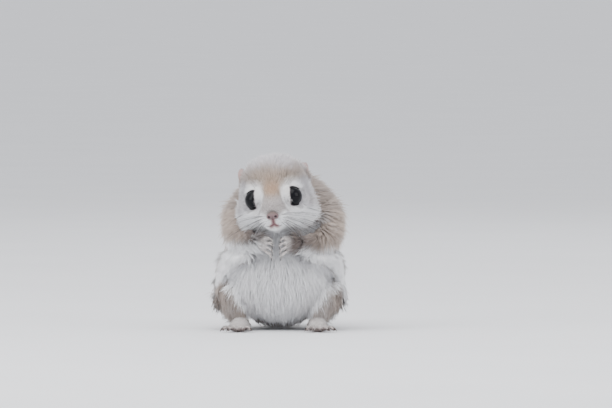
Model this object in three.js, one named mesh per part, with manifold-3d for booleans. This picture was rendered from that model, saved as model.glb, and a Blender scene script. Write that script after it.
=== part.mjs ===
// A Siberian flying squirrel in its winter coat, sitting up with its forepaws
// together under its chin and its flat tail raised along its back.
// Millimetres, +Z up. The animal faces -Y, so its left side is +X.
// Every solid is the outside of the coat, except the eyes, nose, digits and claws.
import * as THREE from "three";
import { mergeVertices } from "three/addons/utils/BufferGeometryUtils.js";
import Module from "manifold-3d";

const wasm = await Module();
wasm.setup();

// Driving dimensions
const GAP = 0.3; // between two nodes that meet
const SHOULDER_HALF_WIDTH = 31; // across the back behind the head
const SHOULDER_CENTRE = [2.5, 4, 57];
const BELLY_HALF_WIDTH = 29.5;
const RUMP_HALF_WIDTH = 30.5;
const HEAD_CENTRE = [-1.3, -22, 71];
const HEAD_HALF_WIDTH = 18.5; // across the braincase, cheeks not counted
const HEAD_ROLL = THREE.MathUtils.degToRad(-6); // its left side is the higher one
const HEAD_YAW = THREE.MathUtils.degToRad(-5.8); // it looks a little to its right
const EYE_RADIUS = 5.2;
const EYE_HALF_SPACING = 9.8;
const EYE_FORWARD = 13.6; // centre of the eyeball in front of the head's centre
const EYE_DROP = 1.0;
const GAZE_OUTWARD = THREE.MathUtils.degToRad(61);
const GAZE_UPWARD = THREE.MathUtils.degToRad(4);
const LID_SET_BACK = 1.9; // plane of the lids in front of the eyeball's centre
const LID_THICKNESS = 0.75;
const NOSE_FORWARD = 28.2;
const NOSE_DROP = 9.6;
const NOSTRIL_SPACING = 1.55; // from the middle of the nose
const MOUTH_DROP = 14.2;
const MOUTH_HALF_WIDTH = 4.6;
const GROOVE = 0.5; // half width of the line of the mouth
const EAR_HALF_WIDTH = 5.4;
const EAR_THICKNESS = 1.1;
const EAR_FLARE = { left: -1.4, right: 1 }; // how far each is turned out from its rest
const WRIST_HEIGHT = 47.5;
const HAND_CENTRE = -1.2; // where the two forepaws meet, across the body
const FINGER_RADIUS = 0.72;
const FINGER_SPREAD = 6.4; // across the four knuckles
const TOE_RADIUS = 1.05;
const TOE_SPREAD = 7.4; // across the five knuckles
const CLAW_LENGTH = 2.4;
const TAIL_HALF_WIDTH = 16.5; // out to the tips of its side hair
const TAIL_CORE_SHARE = 0.66; // of that width, as one closed body
const TAIL_CORE_THICKNESS = 5.2; // half of it
const TAIL_LOCK_ROWS = 20;
const TAIL_LOCK_ROOT_SHARE = 0.42; // how far out the locks start
const TAIL_LOCK_HALF_WIDTH = 2.8;
const TAIL_LOCK_HALF_THICKNESS = 1.5;
const TAIL_TIP_LOCKS = 7;
const TAIL_TIP_LOCK_LENGTH = 19;
const TAIL_CUTS = [0.34, 0.66]; // where the tail is parted, as shares of its length

const v3 = (x, y, z) => new THREE.Vector3(x, y, z);
const SIDES = [
  ["left", 1],
  ["right", -1],
];

// Finishes
const finish = (color, roughness) =>
  new THREE.MeshStandardMaterial({ color, roughness, metalness: 0 });
const BACK_FUR = finish("#9d9188", 0.95);
const HEAD_FUR = finish("#a89c92", 0.95);
const BELLY_FUR = finish("#d9d8d6", 0.95);
const PAW = finish("#c9b3ab", 0.7);
const EAR_SKIN = finish("#b9a39c", 0.8);
const NOSE_SKIN = finish("#8a6f70", 0.5);
const EYE = finish("#0b0b10", 0.08);

// A repeatable draw between 0 and 1
function seeded(seed) {
  let state = seed;
  return () => {
    state = (state * 1664525 + 1013904223) % 4294967296;
    return state / 4294967296;
  };
}

// A closed three.js geometry as a solid that can be joined and cut
function solidOf(geometry) {
  const bare = new THREE.BufferGeometry();
  bare.setAttribute("position", geometry.getAttribute("position"));
  if (geometry.index) bare.setIndex(geometry.index);
  const merged = mergeVertices(bare, 1e-4);
  const corners = Array.from(merged.index.array);
  const faces = [];
  for (let i = 0; i < corners.length; i += 3) {
    const [a, b, c] = corners.slice(i, i + 3);
    if (a !== b && b !== c && c !== a) faces.push(a, b, c);
  }
  const build = (triVerts) =>
    new wasm.Manifold(
      new wasm.Mesh({
        numProp: 3,
        vertProperties: new Float32Array(merged.attributes.position.array),
        triVerts: new Uint32Array(triVerts),
      }),
    );
  const made = build(faces);
  if (made.volume() > 0) return made;
  for (let i = 0; i < faces.length; i += 3)
    [faces[i + 1], faces[i + 2]] = [faces[i + 2], faces[i + 1]];
  return build(faces);
}

function geometryOf(solid) {
  const mesh = solid.getMesh();
  const places = new Float32Array(mesh.numVert * 3);
  for (let i = 0; i < mesh.numVert; i++)
    places.set(mesh.vertProperties.subarray(i * mesh.numProp, i * mesh.numProp + 3), i * 3);
  const geometry = new THREE.BufferGeometry();
  geometry.setAttribute("position", new THREE.BufferAttribute(places, 3));
  geometry.setIndex(new THREE.BufferAttribute(new Uint32Array(mesh.triVerts), 1));
  geometry.computeVertexNormals();
  return geometry;
}

// The same solid a little larger all round, to cut a neighbour clear of it
function swollen(solid, by = GAP) {
  const geometry = geometryOf(solid);
  const place = geometry.attributes.position;
  const normal = geometry.attributes.normal;
  for (let i = 0; i < place.count; i++)
    place.setXYZ(
      i,
      place.getX(i) + normal.getX(i) * by,
      place.getY(i) + normal.getY(i) * by,
      place.getZ(i) + normal.getZ(i) * by,
    );
  return solidOf(geometry);
}

const join = (solids) => solids.reduce((all, one) => all.add(one));
const cut = (solid, tools) => tools.reduce((rest, tool) => rest.subtract(tool), solid);
const largest = (solid) =>
  solid.decompose().reduce((best, one) => (one.volume() > best.volume() ? one : best));

// An ellipsoid of flesh and coat, to be blended with others
const lump = (x, y, z, rx, ry, rz) => ({ at: v3(x, y, z), radii: v3(rx, ry, rz) });
const bothSides = (x, y, z, rx, ry, rz) => [
  lump(x, y, z, rx, ry, rz),
  lump(-x, y, z, rx, ry, rz),
];

// About how far a point lies outside the lumps, which melt together over softness
function blend(lumps, softness) {
  return (p) => {
    let sum = 0;
    for (const { at, radii } of lumps) {
      const q = p.clone().sub(at).divide(radii);
      const reach = q.length();
      const slope = q.clone().divide(radii).length();
      sum += Math.exp(-(reach * (reach - 1)) / Math.max(slope, 1e-9) / softness);
    }
    return -softness * Math.log(sum);
  };
}

// The surface of a field, seen from a point inside it. Points crowd towards lean.
function bodyOf(field, centre, detail, lean = v3(0, 0, 0), floor = -Infinity) {
  const reach = 90;
  const halvings = 24;
  const geometry = new THREE.IcosahedronGeometry(1, detail);
  const place = geometry.attributes.position;
  const way = v3(0, 0, 0);
  const tried = v3(0, 0, 0);
  for (let i = 0; i < place.count; i++) {
    way.fromBufferAttribute(place, i).add(lean).normalize();
    let near = 0;
    let far = reach;
    for (let k = 0; k < halvings; k++) {
      const middle = (near + far) / 2;
      tried.copy(way).multiplyScalar(middle).add(centre);
      if (field(tried) < 0) near = middle;
      else far = middle;
    }
    tried.copy(way).multiplyScalar(near).add(centre);
    place.setXYZ(i, tried.x, tried.y, Math.max(tried.z, floor));
  }
  return geometry;
}

// A closed body along a curve, with an oval section that cups towards its flat side
function swept({ path, wide, thick, across, cup = () => 0, sides = 10, steps = 10, floor = -Infinity }) {
  const geometry = new THREE.SphereGeometry(1, sides, steps);
  const place = geometry.attributes.position;
  for (let i = 0; i < place.count; i++) {
    const row = Math.floor(i / (sides + 1));
    const turn = ((i % (sides + 1)) / sides) * 2 * Math.PI;
    const t = row / steps;
    const tangent = path.getTangent(t);
    const side = across.clone().addScaledVector(tangent, -across.dot(tangent)).normalize();
    const face = tangent.clone().cross(side);
    const ends = row === 0 || row === steps ? 0 : 1;
    const out = Math.cos(turn) * ends;
    const p = path
      .getPoint(t)
      .addScaledVector(side, wide(t) * out)
      .addScaledVector(face, thick(t) * Math.sin(turn) * ends + cup(t) * out * out);
    place.setXYZ(i, p.x, p.y, Math.max(p.z, floor));
  }
  return geometry;
}

const spline = (...points) => new THREE.CatmullRomCurve3(points, false, "centripetal");

// A size along a sweep, from evenly spaced values, closed off round at both ends
function along(...values) {
  const last = values.length - 1;
  const cap = 0.12;
  return (t) => {
    const place = Math.min(t * last, last - 1e-6);
    const k = Math.floor(place);
    const f = place - k;
    const ease = f * f * (3 - 2 * f);
    const edge = Math.min(t, 1 - t, cap) / cap;
    return (values[k] * (1 - ease) + values[k + 1] * ease) * Math.sqrt(1 - (1 - edge) ** 2);
  };
}

// Torso
const torsoField = blend(
  [
    lump(...SHOULDER_CENTRE, SHOULDER_HALF_WIDTH, 26.5, 27.7),
    lump(1.5, 5, 43, 28, 27.5, 21),
    lump(0.5, -2, 31, BELLY_HALF_WIDTH, 28.5, 27),
    lump(0.5, 9, 26, RUMP_HALF_WIDTH, 26, 24.5),
  ],
  2.4,
);
const torso = solidOf(bodyOf(torsoField, v3(1, 4, 40), 7, v3(0, 0, 0), 0));
const torsoClear = swollen(torso);

// Head, in its own frame: origin in the middle of the skull, turned as the animal holds it
const head = new THREE.Group();
head.position.set(...HEAD_CENTRE);
head.rotation.set(0, HEAD_ROLL, HEAD_YAW, "ZYX");
head.updateMatrixWorld(true);

const headField = blend(
  [
    lump(0, 1, 3.2, HEAD_HALF_WIDTH, 18.5, 16.8),
    ...bothSides(10.4, -3, -7.4, 10.4, 12.5, 10.4),
    lump(0, -7, -10.5, 13, 12, 8.3),
    lump(0, -12, -1, 9.5, 9, 8.5),
    lump(0, -17.5, -5.5, 6.2, 8.2, 5.6),
    lump(0, -19.5, -9.6, 5.6, 7.6, 4.8),
    ...bothSides(3.8, -20, -12, 4.4, 5.2, 3.5),
    lump(0, -16, -15.6, 4.8, 6, 3.2),
  ],
  1.3,
);
const headPlace = (geometry) => geometry.clone().applyMatrix4(head.matrixWorld);

// How far back the face lies at a point across and up it
function faceAt(x, z) {
  let front = -40;
  let back = 0;
  for (let k = 0; k < 30; k++) {
    const middle = (front + back) / 2;
    if (headField(v3(x, middle, z)) > 0) front = middle;
    else back = middle;
  }
  return v3(x, back, z);
}

function eyeFrame(side) {
  const gaze = v3(
    side * Math.sin(GAZE_OUTWARD) * Math.cos(GAZE_UPWARD),
    -Math.cos(GAZE_OUTWARD) * Math.cos(GAZE_UPWARD),
    Math.sin(GAZE_UPWARD),
  );
  const turn = new THREE.Quaternion().setFromUnitVectors(v3(0, 0, 1), gaze);
  return new THREE.Matrix4().compose(
    v3(side * EYE_HALF_SPACING, -EYE_FORWARD, -EYE_DROP),
    turn,
    v3(1, 1, 1),
  );
}

const eyeballOf = (side, radius) =>
  headPlace(new THREE.SphereGeometry(radius, 14, 10).applyMatrix4(eyeFrame(side)));

// The two lids as one raised rim round the eyeball
function lidsOf(side) {
  const radius = Math.sqrt(EYE_RADIUS ** 2 - LID_SET_BACK ** 2) + 0.25;
  const rim = new THREE.TorusGeometry(radius, LID_THICKNESS, 6, 22);
  return headPlace(rim.translate(0, 0, LID_SET_BACK).applyMatrix4(eyeFrame(side)));
}

const noseField = blend(
  [
    lump(0, 0, 0.3, 2.1, 1.9, 1.5),
    ...bothSides(1.5, 0.3, -0.4, 1.3, 1.5, 1.2),
  ],
  0.4,
);
const nosePad = bodyOf(noseField, v3(0, 0, 0), 2).translate(0, -NOSE_FORWARD + 0.6, -NOSE_DROP);
const nostrils = SIDES.map(([, side]) =>
  new THREE.SphereGeometry(1, 8, 6)
    .scale(0.55, 0.9, 0.45)
    .translate(side * NOSTRIL_SPACING, -NOSE_FORWARD - 0.9, -NOSE_DROP - 0.5),
);
const nose = cut(solidOf(headPlace(nosePad)), nostrils.map((hole) => solidOf(headPlace(hole))));

// The line of the mouth: a cleft down from the nose, parting to both sides
function mouthLines() {
  const sunk = 0.1;
  const onFace = (x, z) => faceAt(x, z).add(v3(0, sunk, 0));
  const cleft = spline(onFace(0, -NOSE_DROP - 2), onFace(0, -12.8), onFace(0, -MOUTH_DROP));
  const lines = [cleft];
  for (const [, side] of SIDES) {
    const out = side * MOUTH_HALF_WIDTH;
    lines.push(
      spline(
        onFace(0, -MOUTH_DROP + 0.3),
        onFace(out * 0.35, -MOUTH_DROP - 0.7),
        onFace(out * 0.7, -MOUTH_DROP - 0.5),
        onFace(out, -MOUTH_DROP + 0.5),
      ),
    );
  }
  return lines.map((path) =>
    swept({
      path,
      wide: along(GROOVE, GROOVE),
      thick: along(GROOVE, GROOVE),
      across: v3(0.3, 0.2, 1),
      sides: 6,
      steps: 6,
    }),
  );
}

// Ears, thin cups that open outwards
function earOf(side, flare) {
  const path = spline(
    v3(side * 15, 2.6, 3.2),
    v3(side * (17.2 + flare / 2), 4.8, 8),
    v3(side * (18 + flare), 8, 12),
    v3(side * (17.8 + flare), 11.6, 15.2),
  );
  return headPlace(
    swept({
      path,
      wide: along(3.2, 4.9, EAR_HALF_WIDTH, 4.2, 1.8),
      thick: along(EAR_THICKNESS, EAR_THICKNESS * 0.7, EAR_THICKNESS * 0.55, EAR_THICKNESS * 0.5),
      across: v3(side * 0.25, 1, 0),
      cup: along(side, side * 2.6, side * 2.4, side * 0.8),
      sides: 14,
      steps: 9,
    }),
  );
}

// Arms: shoulder, elbow and wrist under the chin
const centreOf = (share) => HAND_CENTRE * share + SHOULDER_CENTRE[0] * (1 - share);
function armOf(side) {
  const path = spline(
    v3(centreOf(0) + side * 15.5, 2, 64),
    v3(centreOf(0) + side * 20.3, -9, 58),
    v3(centreOf(0) + side * 22.6, -18.5, 51),
    v3(centreOf(0.5) + side * 17, -29.5, 48),
    v3(centreOf(1) + side * 8.5, -36.5, WRIST_HEIGHT),
  );
  return swept({
    path,
    wide: along(11, 12.6, 10.2, 6.8, 4.3),
    thick: along(11, 12.2, 9.6, 6.4, 4),
    across: v3(0, 0, 1),
    sides: 14,
    steps: 12,
  });
}

// A digit with its claw, bent over at the end
function digitOf(base, middle, tip, radius, clawWay, floor = -Infinity) {
  const toe = swept({
    path: spline(base, middle, tip),
    wide: along(radius, radius * 0.95, radius * 0.9),
    thick: along(radius, radius * 0.95, radius * 0.9),
    across: v3(0.9, 0.1, 0.35),
    sides: 7,
    steps: 5,
    floor,
  });
  const start = tip.clone().addScaledVector(clawWay, -0.9);
  const end = tip.clone().addScaledVector(clawWay, CLAW_LENGTH);
  const bow = start.clone().lerp(end, 0.55).add(v3(0, 0, 0.5));
  const claw = swept({
    path: spline(start, bow, end),
    wide: (t) => 0.6 * (1 - t) + 0.12,
    thick: (t) => 0.7 * (1 - t) + 0.12,
    across: v3(0.9, 0.1, 0.35),
    sides: 5,
    steps: 4,
    floor,
  });
  return [solidOf(toe), solidOf(claw)];
}

// Forepaws: a small palm and four fingers that curl down over the chest
function handOf(side) {
  const wrist = v3(HAND_CENTRE + side * 8.8, -37, WRIST_HEIGHT - 0.4);
  const knuckles = v3(HAND_CENTRE + side * 5, -40.4, WRIST_HEIGHT - 1.2);
  const palm = swept({
    path: spline(wrist, wrist.clone().lerp(knuckles, 0.55), knuckles),
    wide: along(2.6, 3.6, 4.2),
    thick: along(2.1, 2.2, 1.8),
    across: v3(0, 0, 1),
    sides: 10,
    steps: 8,
  });
  const pieces = [solidOf(palm)];
  const count = 4;
  for (let k = 0; k < count; k++) {
    const fan = k / (count - 1) - 0.5;
    const base = knuckles.clone().add(v3(side * 1.8, 0.3, -fan * FINGER_SPREAD));
    const long = 1 - 0.25 * Math.abs(fan + 0.1);
    const middle = base.clone().add(v3(-side * 3.6 * long, -1.3, -0.7 - fan * 1.6));
    const tip = middle.clone().add(v3(-side * 1.1 * long, 0.2, -1.7 - fan * 0.7));
    const clawWay = v3(-side * 0.25, 0.35, -0.9).normalize();
    pieces.push(...digitOf(base, middle, tip, FINGER_RADIUS, clawWay));
  }
  return join(pieces);
}

// Hind legs: folded thigh, knee and shank under the flank
function legOf(side) {
  const field = blend(
    [
      lump(side * 23.5, 2, 20, 10, 19, 16),
      lump(side * 24.5, -13, 17, 8, 9, 11),
      lump(side * 20.5, -12, 8, 6.5, 9, 6.5),
    ],
    2,
  );
  return bodyOf(field, v3(side * 24, -5, 16), 4, v3(0, 0, 0), 1.2);
}

// Hind feet: a long flat sole and five toes
function footOf(side) {
  const heel = v3(side * 18.5, -9, 3.6);
  const ball = v3(side * 21.5, -33, 2.6);
  const sole = swept({
    path: spline(heel, heel.clone().lerp(ball, 0.5).add(v3(0, 0, 0.7)), ball),
    wide: along(3.4, 4, 4.8, 5),
    thick: along(3.4, 3.6, 3.2, 2.4),
    across: v3(1, 0, 0),
    sides: 12,
    steps: 10,
    floor: 0,
  });
  const pieces = [solidOf(sole)];
  const count = 5;
  for (let k = 0; k < count; k++) {
    const fan = k / (count - 1) - 0.5;
    const long = 1 - 0.5 * fan * fan;
    const way = v3(fan * 0.95 + side * 0.12, -1, 0).normalize();
    const base = ball.clone().add(v3(fan * TOE_SPREAD - side * 0.5, 3.2 + Math.abs(fan) * 2.4, -0.5));
    const middle = base.clone().addScaledVector(way, 6 * long).add(v3(0, 0, 0.9));
    const tip = middle.clone().addScaledVector(way, 3.9 * long).add(v3(0, 0, -1.5));
    const clawWay = way.clone().add(v3(0, 0, -0.25)).normalize();
    pieces.push(...digitOf(base, middle, tip, TOE_RADIUS, clawWay, 0));
  }
  return join(pieces);
}

// Gliding membranes: the furred fold from the wrist by the elbow to the ankle
function membraneOf(side) {
  const path = spline(
    v3(HAND_CENTRE + side * 11.5, -32.5, 43),
    v3(centreOf(0.4) + side * 19.5, -26.5, 41),
    v3(centreOf(0.2) + side * 27.2, -16.5, 37),
    v3(1 + side * 30.6, -8.5, 28.5),
    v3(0.5 + side * 30.2, -10, 18.5),
    v3(side * 25.4, -17.5, 10),
  );
  return swept({
    path,
    wide: along(3.2, 6, 8, 8, 6.4, 3.4),
    thick: along(2.4, 3.4, 3.6, 3.4, 3, 2.2),
    across: v3(0, -0.45, -0.9),
    sides: 10,
    steps: 14,
  });
}

// Tail: a flat brush, with its side hair in tapered locks that overlap towards its tip
const tailPath = spline(
  v3(0.5, 27, 9),
  v3(0.7, 37.5, 6),
  v3(1.1, 46.5, 12),
  v3(1.5, 48.5, 24),
  v3(1.5, 45, 38),
  v3(0.9, 41.5, 52),
  v3(-0.2, 42, 64),
  v3(-1.1, 46.5, 73.5),
);
const TAIL_ACROSS = v3(1, 0, 0);
const tailSpread = (t) => Math.min(1, 0.4 + t * 2) * Math.min(1, 0.5 + (1 - t) * 2.2);

// The way through the tail from its front to its back, at a share of its length
const tailFace = (t) => tailPath.getTangent(t).cross(TAIL_ACROSS).normalize();

function lockOf(root, way, bend, length, face) {
  const middle = root.clone().addScaledVector(way, length * 0.5);
  const end = root.clone().addScaledVector(way, length * 0.9).addScaledVector(bend, length * 0.22);
  return swept({
    path: spline(root, middle, end),
    wide: (t) => TAIL_LOCK_HALF_WIDTH * (0.75 + 0.6 * t) * Math.sqrt(Math.max(1 - t, 0.01)),
    thick: (t) => TAIL_LOCK_HALF_THICKNESS * (1 - 0.6 * t),
    across: way.clone().cross(face).normalize(),
    sides: 6,
    steps: 4,
    floor: 0,
  });
}

// A lock of the side hair, which leaves the tail more steeply near its tip
function sideLock(t, side, lift, draw) {
  const outward = TAIL_ACROSS.clone().multiplyScalar(side);
  const tangent = tailPath.getTangent(t);
  const lean = 0.95 + 0.9 * t + 0.15 * (draw() - 0.5);
  const way = outward.clone().addScaledVector(tangent, lean).normalize();
  const spread = TAIL_HALF_WIDTH * tailSpread(t);
  const root = tailPath
    .getPoint(t)
    .addScaledVector(outward, spread * TAIL_LOCK_ROOT_SHARE)
    .addScaledVector(tailFace(t), lift);
  const length = (spread * (1 - TAIL_LOCK_ROOT_SHARE) * (0.98 + 0.08 * draw())) / way.dot(outward);
  return lockOf(root, way, tangent, length, tailFace(t));
}

// The side hair that is rooted between two places along the tail
function tailLocks(from, to) {
  const draw = seeded(7);
  const first = 0.2;
  const last = 0.95;
  const locks = [];
  for (let row = 0; row < TAIL_LOCK_ROWS; row++) {
    const t = first + ((last - first) * row) / (TAIL_LOCK_ROWS - 1);
    if (t < from || t >= to) continue;
    const lift = row % 2 ? 0.5 : -0.5;
    for (const [, side] of SIDES) locks.push(sideLock(t, side, lift, draw));
  }
  return locks.map(solidOf);
}

function tailTipLocks() {
  const root = tailPath.getPoint(0.95);
  const tangent = tailPath.getTangent(1);
  const locks = [];
  for (let k = 0; k < TAIL_TIP_LOCKS; k++) {
    const fan = k / (TAIL_TIP_LOCKS - 1) - 0.5;
    const way = tangent.clone().addScaledVector(TAIL_ACROSS, fan * 1.5).normalize();
    const length = TAIL_TIP_LOCK_LENGTH * (1 - 0.5 * fan * fan);
    const start = root.clone().addScaledVector(TAIL_ACROSS, fan * 8);
    locks.push(lockOf(start, way, tangent, length, tailFace(1)));
  }
  return locks.map(solidOf);
}

const tailTaper = (t) => Math.min(1, Math.sqrt(8 * (1 - t) + 0.02));
const tailCore = solidOf(
  swept({
    path: tailPath,
    wide: (t) => Math.max(TAIL_HALF_WIDTH * TAIL_CORE_SHARE * tailSpread(t), 3) * tailTaper(t),
    thick: along(5.5, 5.6, TAIL_CORE_THICKNESS, TAIL_CORE_THICKNESS, 4.8, 3.6, 2.4),
    across: TAIL_ACROSS,
    sides: 12,
    steps: 22,
    floor: 0,
  }),
);

// The three lengths of the tail, parted square to its core, each with its own side hair.
// A length further out is cut clear of the hair that grows over it from the one before.
function tailLengths() {
  let rest = tailCore;
  let from = 0;
  const lengths = [];
  for (const to of TAIL_CUTS) {
    const way = tailPath.getTangent(to);
    const place = tailPath.getPoint(to).dot(way);
    const near = rest.trimByPlane(way.clone().negate().toArray(), -place + GAP / 2);
    rest = rest.trimByPlane(way.toArray(), place + GAP / 2);
    lengths.push(join([near, ...tailLocks(from, to)]));
    from = to;
  }
  lengths.push(join([rest, ...tailLocks(from, 1), ...tailTipLocks()]));
  for (let k = 1; k < lengths.length; k++)
    lengths[k] = cut(lengths[k], lengths.slice(0, k).map((before) => swollen(largest(before))));
  return lengths;
}

// Each node is cut clear of the ones it lies on, from the torso outwards
const model = new THREE.Group();
model.add(head);

function addNode(name, solid, material, group = model) {
  const geometry = geometryOf(largest(solid));
  geometry.applyMatrix4(group.matrixWorld.clone().invert());
  const mesh = new THREE.Mesh(geometry, material);
  mesh.name = name;
  group.add(mesh);
  return mesh;
}

addNode("torso", torso, BELLY_FUR);
const [tailBase, tailMiddle, tailEnd] = tailLengths();
addNode("tail_base", cut(tailBase, [torsoClear]), BACK_FUR);
addNode("tail_middle", tailMiddle, BACK_FUR);
addNode("tail_end", tailEnd, BACK_FUR);

const inTheWayOfHead = [torsoClear];
for (const [name, side] of SIDES) {
  const leg = cut(solidOf(legOf(side)), [torsoClear]);
  const foot = cut(footOf(side), [torsoClear, swollen(largest(leg))]);
  const arm = cut(solidOf(armOf(side)), [torsoClear]);
  const armClear = swollen(solidOf(armOf(side)));
  const membrane = cut(solidOf(membraneOf(side)), [
    torsoClear,
    armClear,
    swollen(solidOf(legOf(side))),
    swollen(footOf(side)),
  ]);
  const hand = cut(handOf(side), [torsoClear, armClear]);
  addNode("leg_" + name, leg, BACK_FUR);
  addNode("foot_" + name, foot, PAW);
  addNode("arm_" + name, arm, BACK_FUR);
  addNode("membrane_" + name, membrane, BELLY_FUR);
  addNode("hand_" + name, hand, PAW);
  inTheWayOfHead.push(armClear, swollen(handOf(side)));
}

let headSolid = solidOf(headPlace(bodyOf(headField, v3(0, -5, -3), 9, v3(0, -0.5, -0.1))));
for (const [, side] of SIDES) headSolid = headSolid.add(solidOf(lidsOf(side)));
headSolid = cut(headSolid, [
  ...inTheWayOfHead,
  ...SIDES.map(([, side]) => solidOf(eyeballOf(side, EYE_RADIUS + GAP))),
  swollen(solidOf(headPlace(nosePad))),
  ...mouthLines().map((line) => solidOf(headPlace(line))),
]);
addNode("head", headSolid, HEAD_FUR, head);
addNode("nose", nose, NOSE_SKIN, head);
const headClear = swollen(largest(headSolid));
for (const [name, side] of SIDES) {
  addNode("eye_" + name, solidOf(eyeballOf(side, EYE_RADIUS)), EYE, head);
  addNode("ear_" + name, cut(solidOf(earOf(side, EAR_FLARE[name])), [headClear, torsoClear]), EAR_SKIN, head);
}

// The origin is the middle of the underside of the whole animal's box
const box = new THREE.Box3().setFromObject(model);
const middle = box.getCenter(v3(0, 0, 0));
model.position.set(-middle.x, -middle.y, -box.min.z);

export default model;
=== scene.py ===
"""A Siberian flying squirrel in its winter coat, sitting up with its forepaws under its chin.

The animal faces -Y and its left side is +X. Lengths in this file are millimetres
unless a name ends in _M, and a mesh is turned to metres where it is made. Every random
draw has its own seed, so the model comes out the same each time.
"""

import math

import bmesh
import bpy
import numpy as np
from mathutils import Matrix, Vector
from mathutils.bvhtree import BVHTree
from mathutils.kdtree import KDTree


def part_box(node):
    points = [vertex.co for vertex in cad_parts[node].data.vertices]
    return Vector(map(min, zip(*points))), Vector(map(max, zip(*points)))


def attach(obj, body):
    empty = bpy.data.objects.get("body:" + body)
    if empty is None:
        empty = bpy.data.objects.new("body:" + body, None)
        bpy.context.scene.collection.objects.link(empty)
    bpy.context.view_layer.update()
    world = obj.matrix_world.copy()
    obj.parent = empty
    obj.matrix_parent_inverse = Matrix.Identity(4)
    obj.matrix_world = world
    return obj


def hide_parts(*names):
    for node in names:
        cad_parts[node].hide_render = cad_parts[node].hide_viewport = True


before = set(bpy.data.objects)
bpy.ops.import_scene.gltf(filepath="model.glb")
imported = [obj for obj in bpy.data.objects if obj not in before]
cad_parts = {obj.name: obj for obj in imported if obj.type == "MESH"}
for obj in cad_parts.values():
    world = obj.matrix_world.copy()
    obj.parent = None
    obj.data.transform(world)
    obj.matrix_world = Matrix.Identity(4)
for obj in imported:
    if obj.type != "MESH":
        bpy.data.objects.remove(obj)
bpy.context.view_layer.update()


# The animal's stance in the frame: where its head is and how it is turned.
# Everything on the face is placed from the head's own axes, whose origin is
# in the middle of the skull, x to the animal's left and y to its back.
MM = 0.001
HEAD_ROLL = math.radians(-6)
HEAD_YAW = math.radians(-5.8)
EYE_HALF_SPACING = 9.8
EYE_FORWARD = 13.6
EYE_DROP = 1.0
EYE_RADIUS = 5.2
GAZE_OUTWARD = math.radians(61)
GAZE_UPWARD = math.radians(4)
LID_OPENING = 65
HEAD_IN_BODY = np.array([-1.3, -22, 71])


def centre_of(node):
    low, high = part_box(node)
    return (np.array(low) / MM + np.array(high) / MM) / 2


head_turn = np.array(Matrix.Rotation(HEAD_YAW, 3, "Z") @ Matrix.Rotation(HEAD_ROLL, 3, "Y"))
between_eyes = (centre_of("eye_left") + centre_of("eye_right")) / 2
head_origin = between_eyes - head_turn @ np.array([0, -EYE_FORWARD, -EYE_DROP])
body_origin = head_origin - HEAD_IN_BODY  # the body's measures start here


def from_head(places):
    """Points in the head's own axes, as points of the frame."""
    return np.asarray(places, float) @ head_turn.T + head_origin


def in_head(places):
    """Points of the frame, in the head's own axes."""
    return (np.asarray(places, float) - head_origin) @ head_turn


def gaze_of(side):
    """The way an eye looks, the way from it towards the nose and its own up, in the head's axes."""
    gaze = np.array([
        side * math.sin(GAZE_OUTWARD) * math.cos(GAZE_UPWARD),
        -math.cos(GAZE_OUTWARD) * math.cos(GAZE_UPWARD),
        math.sin(GAZE_UPWARD),
    ])
    to_nose = np.array([-side, 0, 0]) + side * gaze[0] * gaze
    to_nose /= np.linalg.norm(to_nose)
    up = np.cross(gaze, to_nose)
    return gaze, to_nose, up * np.sign(up[2])


def hump(values, middle, width):
    """1 at the middle, falling to nothing on both sides over about that width."""
    return np.exp(-(((values - middle) / width) ** 2))


def lid_opening(turn):
    """Degrees from the gaze to the lid's edge, by the turn round the eye: 0 is towards
    the nose and 90 is up. It is flat towards the nose and drawn up at its top."""
    corners = 13 * hump(turn, 62, 17) + 12 * hump(turn, -60, 20)
    flat_side = -3.5 * hump(turn, 0, 30)
    shoulders = -22 * hump(turn, 106, 24) - 5 * hump(turn, -118, 24)
    return LID_OPENING + corners + flat_side + shoulders


# Camera, floor and light: a long lens level with the face, as in a hide,
# over a pale studio floor under a soft overcast light.
PHOTO_WIDTH = 612
PHOTO_HEIGHT = 408
MM_PER_PIXEL = 0.52
HEAD_PIXEL = (276, 195.4)
LENS_DISTANCE = 4500
LENS_RISE = math.radians(2)
SENSOR_WIDTH = 36
NEAREST_SEEN_M = 0.05
FURTHEST_SEEN_M = 100

view_centre = head_origin + np.array([
    (PHOTO_WIDTH / 2 - HEAD_PIXEL[0]) * MM_PER_PIXEL,
    0,
    -(PHOTO_HEIGHT / 2 - HEAD_PIXEL[1]) * MM_PER_PIXEL,
])
lens_offset = LENS_DISTANCE * np.array([0, -math.cos(LENS_RISE), math.sin(LENS_RISE)])
bpy.ops.object.camera_add(
    location=(view_centre + lens_offset) * MM,
    rotation=(math.pi / 2 - LENS_RISE, 0, 0),
)
camera = bpy.context.object
camera.name = "camera"
camera.data.sensor_width = SENSOR_WIDTH
camera.data.lens = SENSOR_WIDTH * LENS_DISTANCE / (PHOTO_WIDTH * MM_PER_PIXEL)
camera.data.clip_start = NEAREST_SEEN_M
camera.data.clip_end = FURTHEST_SEEN_M
bpy.context.scene.camera = camera


def linear(code):
    """A colour written as #rrggbb, as the numbers that light is added with."""
    shown = [int(code[k:k + 2], 16) / 255 for k in (1, 3, 5)]
    return tuple(c / 12.92 if c <= 0.04045 else ((c + 0.055) / 1.055) ** 2.4 for c in shown)


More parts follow.
